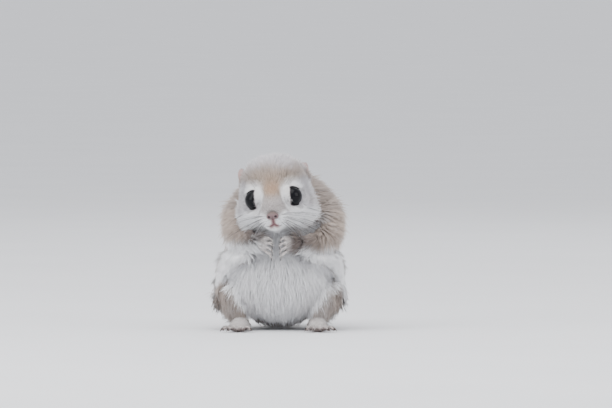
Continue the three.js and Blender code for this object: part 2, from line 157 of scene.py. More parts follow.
class Wire:
    """A socket in a finish. Sums, differences and products of wires add Math nodes."""

    def __init__(self, tree, socket=None):
        self.tree = tree
        self.socket = socket

    def node(self, kind, settings, sockets, output=0):
        made = self.tree.nodes.new(kind)
        for name, value in settings.items():
            setattr(made, name, value)
        for name, value in sockets.items():
            if isinstance(value, Wire):
                self.tree.links.new(value.socket, made.inputs[name])
            else:
                made.inputs[name].default_value = value
        return Wire(self.tree, made.outputs[output])

    def maths(self, operation, first, second):
        return self.node("ShaderNodeMath", {"operation": operation}, {0: first, 1: second})

    def __add__(self, other):
        return self.maths("ADD", self, other)

    def __radd__(self, other):
        return self.maths("ADD", other, self)

    def __sub__(self, other):
        return self.maths("SUBTRACT", self, other)

    def __rsub__(self, other):
        return self.maths("SUBTRACT", other, self)

    def __mul__(self, other):
        return self.maths("MULTIPLY", self, other)

    def __rmul__(self, other):
        return self.maths("MULTIPLY", other, self)

    def over(self, low, high):
        """How far the value has come from low to high, eased at both ends."""
        settings = {"interpolation_type": "SMOOTHSTEP"}
        sockets = {"Value": self, "From Min": low, "From Max": high}
        return self.node("ShaderNodeMapRange", settings, sockets)

    def tint(self, none, full):
        """The colour none where the value is 0 and the colour full where it is 1."""
        sockets = {0: self, 6: none, 7: full}
        for key in (6, 7):
            if not isinstance(sockets[key], Wire):
                sockets[key] = (*sockets[key], 1)
        return self.node("ShaderNodeMix", {"data_type": "RGBA"}, sockets, 2)


def new_finish(name, roughness, specular):
    """A material, its shader and a wire to draw its nodes from."""
    material = bpy.data.materials.new(name)
    material.use_nodes = True
    shader = material.node_tree.nodes["Principled BSDF"]
    shader.inputs["Roughness"].default_value = roughness
    shader.inputs["Specular IOR Level"].default_value = specular
    return material, shader, Wire(material.node_tree)


def feed(shader, socket, wire):
    wire.tree.links.new(wire.socket, shader.inputs[socket])


def grain(wire, scale, detail):
    """Soft noise on the Object coordinates, whose scale is by the metre."""
    place = wire.node("ShaderNodeTexCoord", {}, {}, 3)
    return wire.node("ShaderNodeTexNoise", {}, {"Vector": place, "Scale": scale, "Detail": detail})


FLOOR_SIZE = 40000
bpy.ops.mesh.primitive_plane_add(size=FLOOR_SIZE * MM)
floor = bpy.context.object
floor.name = "floor"
floor_finish, floor_shader, wire = new_finish("studio_floor", 0.9, 0.2)
feed(floor_shader, "Base Color", grain(wire, 9.0, 3.0).tint(linear("#e2e3e6"), linear("#e9eaec")))
floor.data.materials.append(floor_finish)

OVERCAST = linear("#e3e4e8")
OVERCAST_STRENGTH = 1.48
world = bpy.data.worlds.new("overcast")
world.use_nodes = True
sky = world.node_tree.nodes["Background"]
sky.inputs["Color"].default_value = (*OVERCAST, 1)
sky.inputs["Strength"].default_value = OVERCAST_STRENGTH
bpy.context.scene.world = world


def add_softbox(name, place, size, power):
    """A square area light that faces the animal: its place and size in metres, its power in watts."""
    bpy.ops.object.light_add(type="AREA", location=place)
    light = bpy.context.object
    light.name = name
    light.data.size = size
    light.data.energy = power
    aim = Vector(view_centre * MM) - light.location
    light.rotation_euler = aim.to_track_quat("-Z", "Y").to_euler()


add_softbox("softbox_above", (-0.25, -0.55, 1.25), 1.2, 18)
add_softbox("softbox_left", (-1.1, -0.9, 0.6), 0.9, 8)
add_softbox("softbox_right", (1.1, -0.8, 0.6), 0.9, 7)
add_softbox("softbox_behind", (0.3, 1.2, 1.0), 0.9, 4)


# Skin: one closed hide over the whole animal, which replaces the solids of flesh.
# It lies inside them by the depth of the coat: deep on the back and belly, next to
# nothing on the nose, ears, hands and feet, and only by the core's depth on the tail.
SIDES = (("left", 1), ("right", -1))
TAIL_NODES = ["tail_base", "tail_middle", "tail_end"]
FLESH_NODES = ["torso", "head", *TAIL_NODES] + [
    part + "_" + name
    for part in ("arm", "hand", "membrane", "leg", "foot", "ear")
    for name, _ in SIDES
]
SKIN_VOXEL = 0.36
JOINT_GAP = 0.3
COAT_DEPTH = {
    "torso": 4.6, "head": 2.1, "arm": 4.9, "leg": 4.0, "membrane": 1.8,
    "tail": 0.0, "hand": 0.1, "foot": 0.15, "ear": 0.0,
}
SKIN_TRIANGLES = 165000
BARE_PARTS = ("hand", "foot", "ear")
BARE_GROWTH = 0.06
BARE_DEPTH_LIMIT = 0.15
TAIL_DEPTH_LIMIT = 0.2
# The tail's own body inside its brush, along the same bends as the solid.
TAIL_PATH = body_origin + np.array([
    (0.4, 18, 16), (0.5, 27, 9), (0.7, 37.5, 6), (1.1, 46.5, 12), (1.5, 48.5, 24),
    (1.5, 45, 38), (0.9, 41.5, 52), (-0.2, 42, 64), (-1.1, 46.5, 73.5),
])
TAIL_CORE_HALF_WIDTH = 7.5
TAIL_CORE_HALF_THICKNESS = 2.7
TAIL_CORE_RINGS = 90
TAIL_CORE_SIDES = 20
EYE_FILLING = 0.1
WELD_DISTANCE = 0.002
FLOOR_CLEARANCE = 0.05


def part_of(node):
    return node.split("_")[0]


PART_NAMES = np.array([part_of(node) for node in FLESH_NODES])


def arrays_of(mesh):
    """The points, in millimetres, and triangles of a mesh."""
    mesh.calc_loop_triangles()
    points = np.empty(len(mesh.vertices) * 3)
    mesh.vertices.foreach_get("co", points)
    faces = np.empty(len(mesh.loop_triangles) * 3, int)
    mesh.loop_triangles.foreach_get("vertices", faces)
    return points.reshape(-1, 3) / MM, faces.reshape(-1, 3)


def unit(vectors):
    return vectors / np.maximum(np.linalg.norm(vectors, axis=-1, keepdims=True), 1e-9)


def edges_of(faces):
    pairs = np.concatenate([faces[:, [0, 1]], faces[:, [1, 2]], faces[:, [2, 0]]])
    return np.unique(np.sort(pairs, axis=1), axis=0)


def spread(values, edges, rounds, keep=0.0):
    """Values on the points of a mesh, evened out with their neighbours'."""
    count = np.zeros(len(values))
    np.add.at(count, edges[:, 0], 1)
    np.add.at(count, edges[:, 1], 1)
    count = np.maximum(count, 1)
    flat = values.reshape(len(values), -1)
    for _ in range(rounds):
        total = np.empty_like(flat)
        for k in range(flat.shape[1]):
            total[:, k] = np.bincount(edges[:, 0], flat[edges[:, 1], k], len(flat))
            total[:, k] += np.bincount(edges[:, 1], flat[edges[:, 0], k], len(flat))
        flat = keep * flat + (1 - keep) * total / count[:, None]
    return flat.reshape(values.shape)


def normals_of(points, faces):
    a, b, c = points[faces[:, 0]], points[faces[:, 1]], points[faces[:, 2]]
    face_normals = np.cross(b - a, c - a)
    total = np.zeros_like(points)
    for k in range(3):
        for axis in range(3):
            total[:, axis] += np.bincount(faces[:, k], face_normals[:, axis], len(points))
    return unit(total)


def select_only(piece):
    bpy.ops.object.select_all(action="DESELECT")
    piece.select_set(True)
    bpy.context.view_layer.objects.active = piece


def apply_modifier(piece, kind, **settings):
    select_only(piece)
    modifier = piece.modifiers.new(kind.lower(), kind)
    for name, value in settings.items():
        setattr(modifier, name, value)
    bpy.ops.object.modifier_apply(modifier=modifier.name)


def new_piece(name, mesh):
    piece = bpy.data.objects.new(name, mesh)
    bpy.context.scene.collection.objects.link(piece)
    return piece


def welded(mesh):
    """The loose triangles of a solid, joined where their corners meet."""
    loose = bmesh.new()
    loose.from_mesh(mesh)
    bmesh.ops.remove_doubles(loose, verts=loose.verts, dist=WELD_DISTANCE * MM)
    return loose


def move_points(mesh, points):
    mesh.vertices.foreach_set("co", np.asarray(points * MM, np.float32).ravel())
    mesh.update()


# Which solid each bit of skin comes from is looked up on all the solids at once.
solid_points, solid_faces, solid_owner = [], [], []
for number, node in enumerate(FLESH_NODES):
    points, faces = arrays_of(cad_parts[node].data)
    solid_faces.append(faces + sum(len(p) for p in solid_points))
    solid_points.append(points)
    solid_owner += [number] * len(faces)
solid_points = np.concatenate(solid_points)
solid_faces = np.concatenate(solid_faces)
solid_owner = np.array(solid_owner)
solid_tree = BVHTree.FromPolygons(solid_points.tolist(), solid_faces.tolist())


def owners_of(points):
    found = [solid_tree.find_nearest(p)[2] for p in points.tolist()]
    return solid_owner[found]


def tail_course(count):
    """Points along the tail and the way that it runs at each."""
    steps = np.linspace(0, len(TAIL_PATH) - 1, count)
    course = np.stack([np.interp(steps, np.arange(len(TAIL_PATH)), line) for line in TAIL_PATH.T], 1)
    chain = np.stack([np.arange(count - 1), np.arange(1, count)], 1)
    for _ in range(count // 8):
        course[1:-1] = spread(course, chain, 1, 0.3)[1:-1]
    return course, unit(np.gradient(course, axis=0))


def closed_tube(rings):
    """Corners and faces of a closed body through rings of points, each of the same count."""
    count, sides = rings.shape[:2]
    corners = np.concatenate([rings.reshape(-1, 3), rings[[0, -1]].mean(axis=1)])
    faces = []
    for k in range(count - 1):
        for j in range(sides):
            a, b = k * sides + j, k * sides + (j + 1) % sides
            faces += [(a, b, b + sides), (a, b + sides, a + sides)]
    for j in range(sides):
        after = (j + 1) % sides
        last = (count - 1) * sides
        faces += [(after, j, count * sides), (last + j, last + after, count * sides + 1)]
    return corners, faces


def tube_along(course, ways, across, wide, thick, sides):
    """Rings round a course, wide along across and thick square to it."""
    out = unit(across - (ways @ across)[:, None] * ways)
    face = np.cross(ways, out)
    turn = np.linspace(0, 2 * math.pi, sides, endpoint=False)
    return (
        course[:, None]
        + out[:, None] * (wide[:, None] * np.cos(turn))[..., None]
        + face[:, None] * (thick[:, None] * np.sin(turn))[..., None]
    )


# All the flesh is joined, a little swollen so that neighbours meet, with the tail's core
# in place of its locks and the eyes filled in, and remeshed as one closed body.
hide_mesh = bpy.data.meshes.new("skin")
builder = bmesh.new()
course, ways = tail_course(TAIL_CORE_RINGS)
share = np.linspace(0, 1, TAIL_CORE_RINGS)
fullness = np.minimum(1, 0.45 + share * 1.8) * np.sqrt(np.minimum(1, 7 * (1 - share) + 0.01))
core = closed_tube(tube_along(
    course, ways, np.array([1.0, 0, 0]),
    TAIL_CORE_HALF_WIDTH * fullness, TAIL_CORE_HALF_THICKNESS * fullness, TAIL_CORE_SIDES,
))
core_mesh = bpy.data.meshes.new("tail_core")
core_mesh.from_pydata((core[0] * MM).tolist(), [], core[1])
builder.from_mesh(core_mesh)
bpy.data.meshes.remove(core_mesh)
for name, _ in SIDES:
    bmesh.ops.create_icosphere(
        builder, subdivisions=4, radius=(EYE_RADIUS + EYE_FILLING) * MM,
        matrix=Matrix.Translation(Vector(centre_of("eye_" + name) * MM)))
for node in FLESH_NODES:
    if node in TAIL_NODES:
        continue
    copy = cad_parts[node].data.copy()
    loose = welded(copy)
    loose.normal_update()
    growth = BARE_GROWTH if part_of(node) in BARE_PARTS else JOINT_GAP
    for point in loose.verts:
        point.co += point.normal * growth * MM
    loose.to_mesh(copy)
    loose.free()
    builder.from_mesh(copy)
    bpy.data.meshes.remove(copy)
builder.to_mesh(hide_mesh)
builder.free()
skin = new_piece("skin", hide_mesh)
apply_modifier(skin, "REMESH", mode="VOXEL", voxel_size=SKIN_VOXEL * MM)


def head_depth(places):
    """Depth of the coat on the head: thick on the cheeks, thin round the eyes and nose."""
    x, y, z = places.T
    across = np.abs(x)
    depth = np.full(len(places), COAT_DEPTH["head"])
    depth += 1.1 * np.exp(-((across - 15) ** 2 + (z + 10) ** 2) / 60)
    depth += 0.8 * np.clip((y + 4) / 10, 0, 1)
    muzzle = np.clip((-16 - y) / 6, 0, 1)
    depth = depth * (1 - muzzle) + 0.35 * muzzle
    eye = np.sqrt((across - 13.5) ** 2 + (y + 16) ** 2 + (z + 1) ** 2)
    return np.minimum(depth, 0.4 + 0.35 * np.clip(eye - 6.5, 0, 10))


points, faces = arrays_of(skin.data)
edges = edges_of(faces)
owners = owners_of(points)
parts = PART_NAMES[owners]
depth = np.array([COAT_DEPTH[part] for part in PART_NAMES])[owners]
depth[parts == "head"] = head_depth(in_head(points[parts == "head"]))
depth = spread(depth, edges, 14)
bare = np.isin(parts, BARE_PARTS)
depth[bare] = np.minimum(depth[bare], BARE_DEPTH_LIMIT)
depth += np.where(bare, BARE_GROWTH, JOINT_GAP * 0.8)
depth[parts == "tail"] = np.minimum(depth[parts == "tail"], TAIL_DEPTH_LIMIT)
inward = spread(normals_of(points, faces), edges, 6)
points = points - unit(inward) * depth[:, None]
points[:, 2] = np.maximum(points[:, 2], FLOOR_CLEARANCE)
move_points(skin.data, points)
apply_modifier(skin, "REMESH", mode="VOXEL", voxel_size=SKIN_VOXEL * MM)

points, faces = arrays_of(skin.data)
edges = edges_of(faces)
smooth = spread(points, edges, 3, 0.3)
points = spread(smooth + (smooth - spread(smooth, edges, 1)) * 0.8, edges, 1, 0.5)
points[:, 2] = np.maximum(points[:, 2], FLOOR_CLEARANCE)

# Behind the lids the skin sinks under the eyeball, and round them it closes up to them.
EYE_PLACE = np.array([EYE_HALF_SPACING, -EYE_FORWARD, -EYE_DROP])
EYE_REACH = 8
SOCKET_RADIUS = 4.7
SOCKET_PAST_LID = [3, 5, 12, 50]
SOCKET_FLOOR = [4.7, 5.0, 5.5, 6.1]


def on_left(places):
    """The places of one half of the head or the other, all as if on the left half."""
    folded = places.copy()
    folded[:, 0] = np.abs(folded[:, 0])
    return folded


def past_lid(places):
    """Degrees that points in the head's axes lie past the edge of the nearer eye's lids,
    and how far they are from the middle of that eye."""
    gaze, to_nose, up = gaze_of(1)
    away = on_left(places) - EYE_PLACE
    far = np.linalg.norm(away, axis=1)
    away = unit(away)
    turn = np.degrees(np.arctan2(away @ up, away @ to_nose))
    return np.degrees(np.arccos(np.clip(away @ gaze, -1, 1))) - lid_opening(turn), far


local = in_head(points)
past, far = past_lid(local)
floor_of_socket = np.interp(past, SOCKET_PAST_LID, SOCKET_FLOOR)
wanted = np.where(past < 4, np.minimum(far, SOCKET_RADIUS), np.maximum(far, floor_of_socket))
close = far < EYE_REACH
eye_middle = np.tile(EYE_PLACE, (len(far), 1))
eye_middle[:, 0] *= np.sign(local[:, 0] + 1e-9)
local[close] = (eye_middle + (local - eye_middle) * (wanted / np.maximum(far, 0.1))[:, None])[close]
points[close] = from_head(local[close])
move_points(skin.data, points)
apply_modifier(skin, "DECIMATE", ratio=SKIN_TRIANGLES / len(faces))

# The cleft and the line of the mouth are pressed into the skin, with the lips raised
# along them, once the skin there is divided finely enough to hold them.
MOUTH_LINES = [
    [(0, -11.2), (0, -12.6), (0, -14.1)],
    [(0, -14.0), (1.2, -14.8), (2.4, -15.0), (3.6, -14.6)],
    [(0, -14.0), (-1.2, -14.8), (-2.4, -15.0), (-3.6, -14.6)],
]
GROOVE_DEPTH = 0.75
GROOVE_HALF_WIDTH = 0.34
LIP_RISE = 0.3
LIP_OFFSET = 0.85
LIP_HALF_WIDTH = 0.45
MUZZLE_FRONT = -17


def from_mouth(places):
    """How far points in the head's axes lie from the lines of the mouth, seen from the front."""
    nearest = np.full(len(places), 99.0)
    spot = places[:, [0, 2]]
    for line in MOUTH_LINES:
        for start, end in zip(line, line[1:]):
            start, run = np.array(start), np.subtract(end, start)
            share = np.clip((spot - start) @ run / (run @ run), 0, 1)
            nearest = np.minimum(nearest, np.linalg.norm(spot - start - share[:, None] * run, axis=1))
    return nearest


points, faces = arrays_of(skin.data)
local = in_head(points)
near_mouth = (from_mouth(local) < 2.2) & (local[:, 1] < MUZZLE_FRONT)
fine = bmesh.new()
fine.from_mesh(skin.data)
fine.verts.ensure_lookup_table()
chosen = {e for k in np.flatnonzero(near_mouth) for e in fine.verts[k].link_edges}
bmesh.ops.subdivide_edges(fine, edges=list(chosen), cuts=2, use_grid_fill=True)
bmesh.ops.triangulate(fine, faces=fine.faces)
fine.to_mesh(skin.data)
fine.free()

points, faces = arrays_of(skin.data)
local = in_head(points)
gap = from_mouth(local)
front = local[:, 1] < MUZZLE_FRONT
local[front, 1] += (GROOVE_DEPTH * hump(gap, 0, GROOVE_HALF_WIDTH))[front]
local[front, 1] -= (LIP_RISE * hump(gap, LIP_OFFSET, LIP_HALF_WIDTH))[front]
points[front] = from_head(local[front])
move_points(skin.data, points)
edges = edges_of(faces)


# Markings: a grey-brown back and sleeves, darker at the wrists (darker forearm fur and painted shadow
# under the chin), a warm brow with an ochre middle, a frosted crown, and white cheeks, chin, chest, belly
# and underside of the gliding membranes.
# Skin and coat both take their colour from marking_at, so they always agree.
WHITE = linear("#f6f6f8")
CROWN = linear("#cac6ca")
BROW = linear("#a39487")
OCHRE = linear("#b8906f")
BRIDGE = linear("#b1aaa8")
TEMPLE = linear("#b3b0b5")
SLEEVE = linear("#b5a69b")
# Partly the forearms' own darker fur and partly painted shadow that the chin casts on them.
FOREARM_FUR_AND_CHIN_SHADOW = linear("#6b605c")
BACK = linear("#a3978f")
TAIL = linear("#b3a699")
TAIL_EDGE = linear("#8d8078")
PAW_FUR = linear("#dcd5d2")
PINK = linear("#c99f98")
MOUTH = linear("#a4707c")
PAINTED_HIDE = 0.55  # how light the hide is under the coat, against the coat
PAINTED_BARE = 0.9
HAND_CENTRE = -1.2
WRIST_HEIGHT = 47.5
WRISTS = [
    body_origin + np.array([HAND_CENTRE + side * 8.5, -36.5, WRIST_HEIGHT]) for _, side in SIDES
]
SLEEVE_HEM = 54.3
HEM_SLOPE = 0.07
WRIST_HEM_DROP = 3.9


def rise(values, low, high):
    """From 0 at low to 1 at high, eased at both ends."""
    share = np.clip((values - low) / (high - low), 0, 1)
    return share * share * (3 - 2 * share)


def ripple(places, length, seed):
    """A soft random wave between about -1 and 1 that changes over that length."""
    draw = np.random.default_rng(seed)
    total = np.zeros(len(places))
    for _ in range(7):
        way = draw.normal(size=3)
        way *= 2 * math.pi / length * draw.uniform(0.6, 1.5) / np.linalg.norm(way)
        total += np.sin(places @ way + draw.uniform(0, 2 * math.pi))
    return total / 3


def mixed(none, full, share):
    """The colour none where the share is 0 and the colour full where it is 1."""
    share = np.asarray(share, float)[:, None]
    return np.asarray(none) * (1 - share) + np.asarray(full) * share


def from_eye(places):
    """How far points in the head's axes lie from the middle of the nearer eye."""
    return np.linalg.norm(on_left(places) - EYE_PLACE, axis=1)


def head_marking(places):
    """Colour at points in the head's axes, laid on from the crown to the mouth."""
    x, y, z = places.T
    across = np.abs(x)
    wave = ripple(places, 9, 3)
    front = rise(-y, -9, 2)
    tone = mixed(BACK, CROWN, rise(z + wave, 8.5, 15))
    tone = mixed(tone, BROW, 0.95 * front * rise(z + 0.6 * wave, 13.2, 7.8) * rise(across, 13.5, 9.5))
    tone = mixed(tone, OCHRE, 0.55 * front * hump(x, 0, 4.2) * hump(z, 2.6, 3.8))
    tone = mixed(tone, BRIDGE, front * rise(z, 1.5, -3) * rise(across, 11, 6))
    tone = mixed(tone, TEMPLE, rise(across, 9, 14) * rise(z, 9, 5))
    tone = mixed(tone, SLEEVE, 0.7 * rise(across, 16, 19.5))
    # A pale crescent behind each eye, a white ring round it, and white cheeks and chin.
    eye = from_eye(places)
    tone = mixed(tone, WHITE, 0.55 * rise(across, 13, 16) * hump(eye, 11.6, 1.3) * rise(z, 8, 3))
    tone = mixed(tone, WHITE, 0.85 * hump(eye, 6.3, 1.5))
    cheek_top = -9.5 + 2.2 * rise(across, 1, 7)
    white = rise(cheek_top - z + 0.5 * wave, -0.8, 1.6)
    tone = mixed(tone, WHITE, white * rise(-y, -10, -3))
    middle = rise(-y, 17, 20) * rise(across, 3.0, 1.6)
    tone = mixed(tone, PINK, 0.8 * middle * rise(from_mouth(places), 1.5, 0.7))
    return mixed(tone, MOUTH, 0.8 * middle * rise(from_mouth(places), 0.6, 0.25))


def marking_at(points, parts, facing):
    """Colour of the coat at points of the skin, by the part that they belong to."""
    x, y, z = (points - body_origin).T
    wave = ripple(points, 14, 5)
    wrist = np.min([np.linalg.norm(points - place, axis=1) for place in WRISTS], axis=0)
    hem = SLEEVE_HEM - HEM_SLOPE * (x + 33) - WRIST_HEM_DROP * rise(wrist, 23, 14)
    # Near the wrists the sleeve darkens: partly the forearm's own darker fur, partly painted shadow under
    # the chin.
    sleeve = mixed(SLEEVE, FOREARM_FUR_AND_CHIN_SHADOW, 0.9 * rise(wrist, 22, 9))
    paw = mixed(PAW_FUR, PINK, 0.35 * rise(z, 4, 1))
    tones = {
        "torso": mixed(BACK, WHITE, rise(-y + wave, 2, 8) * rise(z + wave, 62, 56)),
        "arm": mixed(sleeve, WHITE, rise(z + 0.7 * wave, hem, hem - 2.2)),
        "membrane": mixed(WHITE, BACK, rise(facing[:, 1], 0.0, 0.5)),
        "leg": mixed(BACK, WHITE, 0.6 * rise(-y + wave, 16, 22)),
        "hand": paw,
        "foot": paw,
        "tail": mixed(TAIL, TAIL_EDGE, 0.8 * rise(np.abs(x), 6, 12)),
    }
    tone = np.empty((len(points), 3))
    for part, colours in tones.items():
        tone[parts == part] = colours[parts == part]
    here = (parts == "head") | (parts == "ear")
    tone[here] = head_marking(in_head(points[here]))
    here = parts == "ear"
    tone[here] = 0.8 * mixed(tone[here], PINK, np.full(here.sum(), 0.6))
    return tone


owners = owners_of(points)
parts = PART_NAMES[owners]
soft_facing = unit(spread(normals_of(points, faces), edges, 4))
marking = spread(marking_at(points, parts, soft_facing), edges, 2)


def paint(mesh, colours):
    """Colours kept on the points of a mesh, for its finish to read."""
    shade = mesh.attributes.new("marking", "FLOAT_COLOR", "POINT")
    filled = np.ones((len(colours), 4), np.float32)
    filled[:, :3] = colours
    shade.data.foreach_set("color", filled.ravel())


def painted(wire):
    return wire.node("ShaderNodeAttribute", {"attribute_name": "marking"}, {})


def darkened(tone, share, shade):
    """The colour tone times the colour shade, by that share."""
    settings = {"data_type": "RGBA", "blend_type": "MULTIPLY"}
    return tone.node("ShaderNodeMix", settings, {0: share, 6: tone, 7: shade}, 2)


def pebbles(wire, scale):
    """Small cells on the Object coordinates, whose scale is by the metre."""
    place = wire.node("ShaderNodeTexCoord", {}, {}, 3)
    return wire.node("ShaderNodeTexVoronoi", {}, {"Vector": place, "Scale": scale})


def rough_up(shader, height, strength, depth_m):
    """A bump of that height on a finish."""
    sockets = {"Strength": strength, "Distance": depth_m, "Height": height}
    feed(shader, "Normal", height.node("ShaderNodeBump", {}, sockets))


bare = np.isin(parts, BARE_PARTS)
paint(skin.data, marking * np.where(bare, PAINTED_BARE, PAINTED_HIDE)[:, None])
MOTTLE_TINT = (0.72, 0.68, 0.67, 1)
skin_finish, skin_shader, wire = new_finish("hide", 0.8, 0.25)
mottle = grain(wire, 900.0, 4.0)
feed(skin_shader, "Base Color", darkened(painted(wire), mottle * 0.6, MOTTLE_TINT))
rough_up(skin_shader, pebbles(wire, 2600.0) + mottle, 0.35, 0.0002)
skin.data.materials.append(skin_finish)
select_only(skin)
bpy.ops.object.shade_smooth()
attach(skin, "root")
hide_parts(*FLESH_NODES)


# Coat: solid tufts of winter fur, each a thin three-sided spike that starts in the
# skin, leans along the lie of the coat and ends in a point. The lie runs from the
# nose over the head and body to the tail, and down each limb to its claws.
# By part: length, half width, lift off the skin in degrees and tufts for each square
# millimetre. The head's change over the face, and are worked out below.
COAT = {
    "torso": (10.0, 0.17, 28, 3.4), "arm": (8.5, 0.15, 23, 6.5), "leg": (7.0, 0.15, 22, 3.8),
    "membrane": (4.6, 0.13, 16, 7.5), "tail": (9.5, 0.14, 18, 8.0), "hand": (2.0, 0.08, 18, 14),
    "foot": (1.9, 0.09, 13, 11), "ear": (0.8, 0.07, 18, 10), "head": (0, 0, 0, 0),
}
BARE_TUFT_LIMIT = 2.2
# Which way the coat lies on these parts: outwards, back and up.
LIMB_LIE = {
    "hand": (-0.5, -0.4, -0.75), "leg": (0.1, -0.5, -0.85),
    "foot": (0.1, -1, -0.1), "membrane": (0.45, 0, -0.8),
}
NOSE_END = np.array([0, -30, -9])
EAR_LIE = np.array([0, 0.45, 0.9])
EAR_ROOT = np.array([15.8, 3.0, 8.5])
NOSE_PAD_PLACE = np.array([0, -28.5, -9.8])
NOSE_PAD_SIZE = np.array([3.4, 3, 2.6])


def tail_lie(points):
    """Along the tail towards its tip, and outwards at both of its edges."""
    near = ((points[:, None, :] - course[None]) ** 2).sum(axis=2).argmin(axis=1)
    side = (points[:, 0] - course[near, 0]) / 5.5
    return ways[near] + np.clip(side, -1.2, 1.2)[:, None] * np.array([1.1, 0, 0])


def head_lie(places):
    """From the end of the nose over the head, and round the eyes instead of over them."""
    lie = unit(places - NOSE_END) + np.array([0, 0.15, 0])
    out = unit(on_left(places) - EYE_PLACE)
    out[:, 0] *= np.sign(places[:, 0] + 1e-9)
    near_eye = hump(np.maximum(from_eye(places) - 6.5, 0), 0, 3)
    towards = np.minimum((lie * out).sum(axis=1), 0)
    return lie - (towards * near_eye * 1.5)[:, None] * out


def lie_of(points, parts):
    """The way the coat lies, before it is laid flat on the skin."""
    side = np.sign((points - body_origin)[:, 0] + 1e-9)
    lie = unit(points - head_origin) + np.array([0, 0.1, -0.45])
    here = parts == "head"
    lie[here] = head_lie(in_head(points[here])) @ head_turn.T
    for (_, way), wrist_place in zip(SIDES, WRISTS):
        mine = (parts == "arm") & (side == way)
        to_wrist = wrist_place - points[mine]
        share = rise(np.linalg.norm(to_wrist, axis=1), 26, 10)[:, None]
        lie[mine] = lie[mine] * (1 - share) + unit(to_wrist + np.array([-10 * way, -7, -6])) * share
    for part, (out, back, up) in LIMB_LIE.items():
        here = parts == part
        lie[here] = (0, back, up)
        lie[here, 0] = out * side[here]
    lie[parts == "tail"] = tail_lie(points[parts == "tail"])
    lie[parts == "ear"] = EAR_LIE @ head_turn.T
    return lie


lie = spread(unit(lie_of(points, parts)), edges, 8)
lie = unit(lie - (lie * soft_facing).sum(axis=1)[:, None] * soft_facing)
length, half_width, lift, density = np.array([COAT[part] for part in PART_NAMES], float)[owners].T.copy()

# On the head the tufts are shortest beside the nose, lips, eyes and ears, so that they
# show, and longest on the crown and the edges of the cheeks.
here = parts == "head"
local = in_head(points[here])
head_length = 1.2 + 2.2 * np.clip(head_depth(local) - 0.35, 0, 5)
cheek_edge = rise(np.abs(local[:, 0]), 13, 18) * rise(-local[:, 2], -9, -4)
head_length += 1.6 * rise(local[:, 2], 7, 13) + 1.8 * cheek_edge
beside_ear = rise(np.linalg.norm(on_left(local) - EAR_ROOT, axis=1), 9, 5)
head_length *= 1 - 0.5 * beside_ear
half_width[here] = 0.075 + 0.01 * head_length
lift[here] = 15 + 25 * rise(head_length, 1, 5) + 8 * rise(local[:, 2], 8, 14)
density[here] = 8.5 + 13 * rise(head_length, 5, 1.1)
past, far = past_lid(local)
beside_eye = rise(far, 9, 7)
density[here] *= np.where(far < EYE_REACH, rise(past, 5.5, 8.5), 1) * (1 + 0.9 * beside_eye)
lash_length = np.minimum(head_length, 1.0 + 0.035 * np.clip(past, 0, 40))
length[here] = head_length * (1 - beside_eye) + lash_length * beside_eye
lip_edge = 1.15 - 1.0 * rise(np.abs(local[:, 0]), 1.4, 3.0)
density[here] *= np.maximum(rise(from_mouth(local) / lip_edge, 0.6, 1), rise(-local[:, 1], 18, 16))
pad = np.linalg.norm((local - NOSE_PAD_PLACE) / NOSE_PAD_SIZE, axis=1)
density[here] *= rise(pad, 0.8, 1.05)

# The brush of the tail is longest at its edges, and low on the leg the coat is short.
here = parts == "tail"
length[here] += 5 * rise(np.abs(points[here, 0] - body_origin[0]), 2.5, 6.5)
here = parts == "leg"
low_leg = rise(points[here, 2], 11, 5)
length[here] -= 4 * low_leg
lift[here] -= 12 * low_leg
length = spread(length, edges, 10)
half_width = spread(half_width, edges, 10)
lift = spread(lift, edges, 10)
length[bare] = np.minimum(length[bare], BARE_TUFT_LIMIT)


LAYOUT_TRIANGLES = 2500
LAYOUT_ANGLE = math.radians(70)
LAYOUT_MARGIN = 0.004


def unwrap(region):
    """A flat layout of a region of the skin: a tree of its faces, their corners and their UVs."""
    used, where = np.unique(faces[region], return_inverse=True)
    shape = bpy.data.meshes.new("layout")
    shape.from_pydata((points[used] * MM).tolist(), [], where.reshape(-1, 3).tolist())
    layout = new_piece("layout", shape)
    apply_modifier(layout, "DECIMATE", ratio=min(1, LAYOUT_TRIANGLES / region.sum()))
    select_only(layout)
    bpy.ops.object.mode_set(mode="EDIT")
    bpy.ops.mesh.select_all(action="SELECT")
    bpy.ops.uv.smart_project(angle_limit=LAYOUT_ANGLE, island_margin=LAYOUT_MARGIN)
    bpy.ops.object.mode_set(mode="OBJECT")
    shape = layout.data
    corners, sheets = arrays_of(shape)
    loops = np.empty(len(shape.loop_triangles) * 3, int)
    shape.loop_triangles.foreach_get("loops", loops)
    flat = np.empty(len(shape.loops) * 2)
    shape.uv_layers.active.data.foreach_get("uv", flat)
    flat = flat.reshape(-1, 2)[loops].reshape(-1, 3, 2)
    tree = BVHTree.FromPolygons(corners.tolist(), sheets.tolist())
    bpy.data.objects.remove(layout)
    return tree, corners[sheets], flat


def flat_place(roots, tree, corners, flat):
    """Where the roots lie on that layout."""
    found = [tree.find_nearest(root) for root in roots.tolist()]
    spot = np.array([f[0][:] for f in found])
    sheet = np.array([f[2] for f in found])
    a, b, c = corners[sheet, 0], corners[sheet, 1], corners[sheet, 2]
    normal = np.cross(b - a, c - a)
    area = np.maximum((normal ** 2).sum(axis=1), 1e-12)
    share_b = (np.cross(spot - a, c - a) * normal).sum(axis=1) / area
    share_c = (np.cross(b - a, spot - a) * normal).sum(axis=1) / area
    share_a = 1 - share_b - share_c
    uv = flat[sheet]
    return uv[:, 0] * share_a[:, None] + uv[:, 1] * share_b[:, None] + uv[:, 2] * share_c[:, None]


